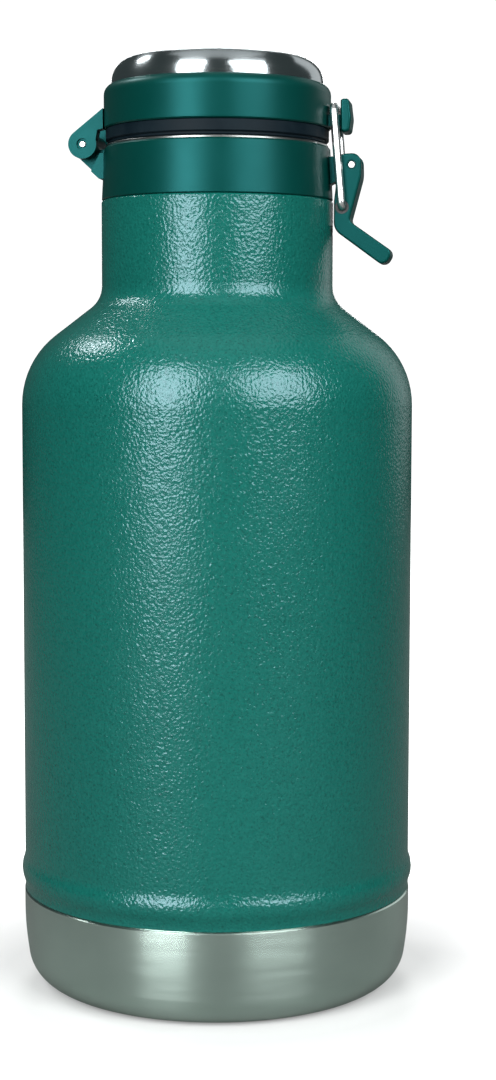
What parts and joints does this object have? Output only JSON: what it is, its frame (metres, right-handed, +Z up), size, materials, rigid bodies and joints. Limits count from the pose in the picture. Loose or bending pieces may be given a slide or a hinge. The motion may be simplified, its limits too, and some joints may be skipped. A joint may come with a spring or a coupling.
{
  "type": "growler",
  "caption": "Insulated steel growler with a hammertone painted body, bare steel foot, and a hinged lid with steel cap held by a wire bail and over-centre lever.",
  "frame": {"origin": "centre of the foot ring, on the surface the growler stands on", "axes": "+Z up along the bottle's axis, +X towards the lid latch, -X towards the lid hinge, -Y towards the viewer's side"},
  "size_m": [0.126, 0.126, 0.2935],
  "materials": {
    "hammertone_green": "hammertone, semi-gloss",
    "satin_green": "satin",
    "brushed_steel": "brushed",
    "plain_steel": "satin",
    "polished_steel": "polished",
    "bright_steel": "polished",
    "black_rubber": "matte",
    "black_plastic": "matte",
    "white_foam": "matte",
    "seal_resin": "matte",
    "getter_grey": "matte"
  },
  "bodies": {
    "vessel": {"outer_shell": "hammertone_green", "base_cup": "brushed_steel", "base_cover_disc": "brushed_steel", "vacuum_seal": "seal_resin", "getter": "getter_grey", "inner_vessel": "plain_steel", "inner_vessel_bottom": "plain_steel", "neck_collar": "satin_green", "collar_seal": "black_rubber", "collar_lock_ring": "plain_steel", "lever_pin": "bright_steel"},
    "lid": {"lid_band": "satin_green", "lid_cap": "polished_steel", "lid_insulation": "white_foam", "lid_plug": "black_plastic", "plug_insulation": "white_foam", "plug_liner": "plain_steel", "lid_gasket": "black_rubber", "hinge_pin": "bright_steel"},
    "lever": {"latch_lever": "satin_green"},
    "bushes": {"bail_bushes": "black_plastic"},
    "bail": {"bail_wire": "bright_steel"}
  },
  "joints": [
    {"name": "lid_hinge", "type": "hinge", "parent": "vessel", "child": "lid", "pos_m": [-0.0412, 0, 0.2667], "axis": [0, -1, 0], "range_deg": [0, 180]},
    {"name": "lever_pivot", "type": "hinge", "parent": "vessel", "child": "lever", "pos_m": [0.043, 0, 0.2599], "axis": [0, -1, 0], "range_deg": [0, 70]},
    {"name": "bush_turn", "type": "hinge", "parent": "lever", "child": "bushes", "pos_m": [0.0401, 0, 0.2469], "axis": [0, 1, 0], "range_deg": [0, 43]},
    {"name": "bail_swing", "type": "hinge", "parent": "bushes", "child": "bail", "pos_m": [0.0401, 0, 0.2469], "axis": [0, 1, 0], "range_deg": [0, 165]}
  ],
  "couplings": [
    {"joint": "bush_turn", "follows": "lever_pivot", "ratio": 0.6}
  ]
}
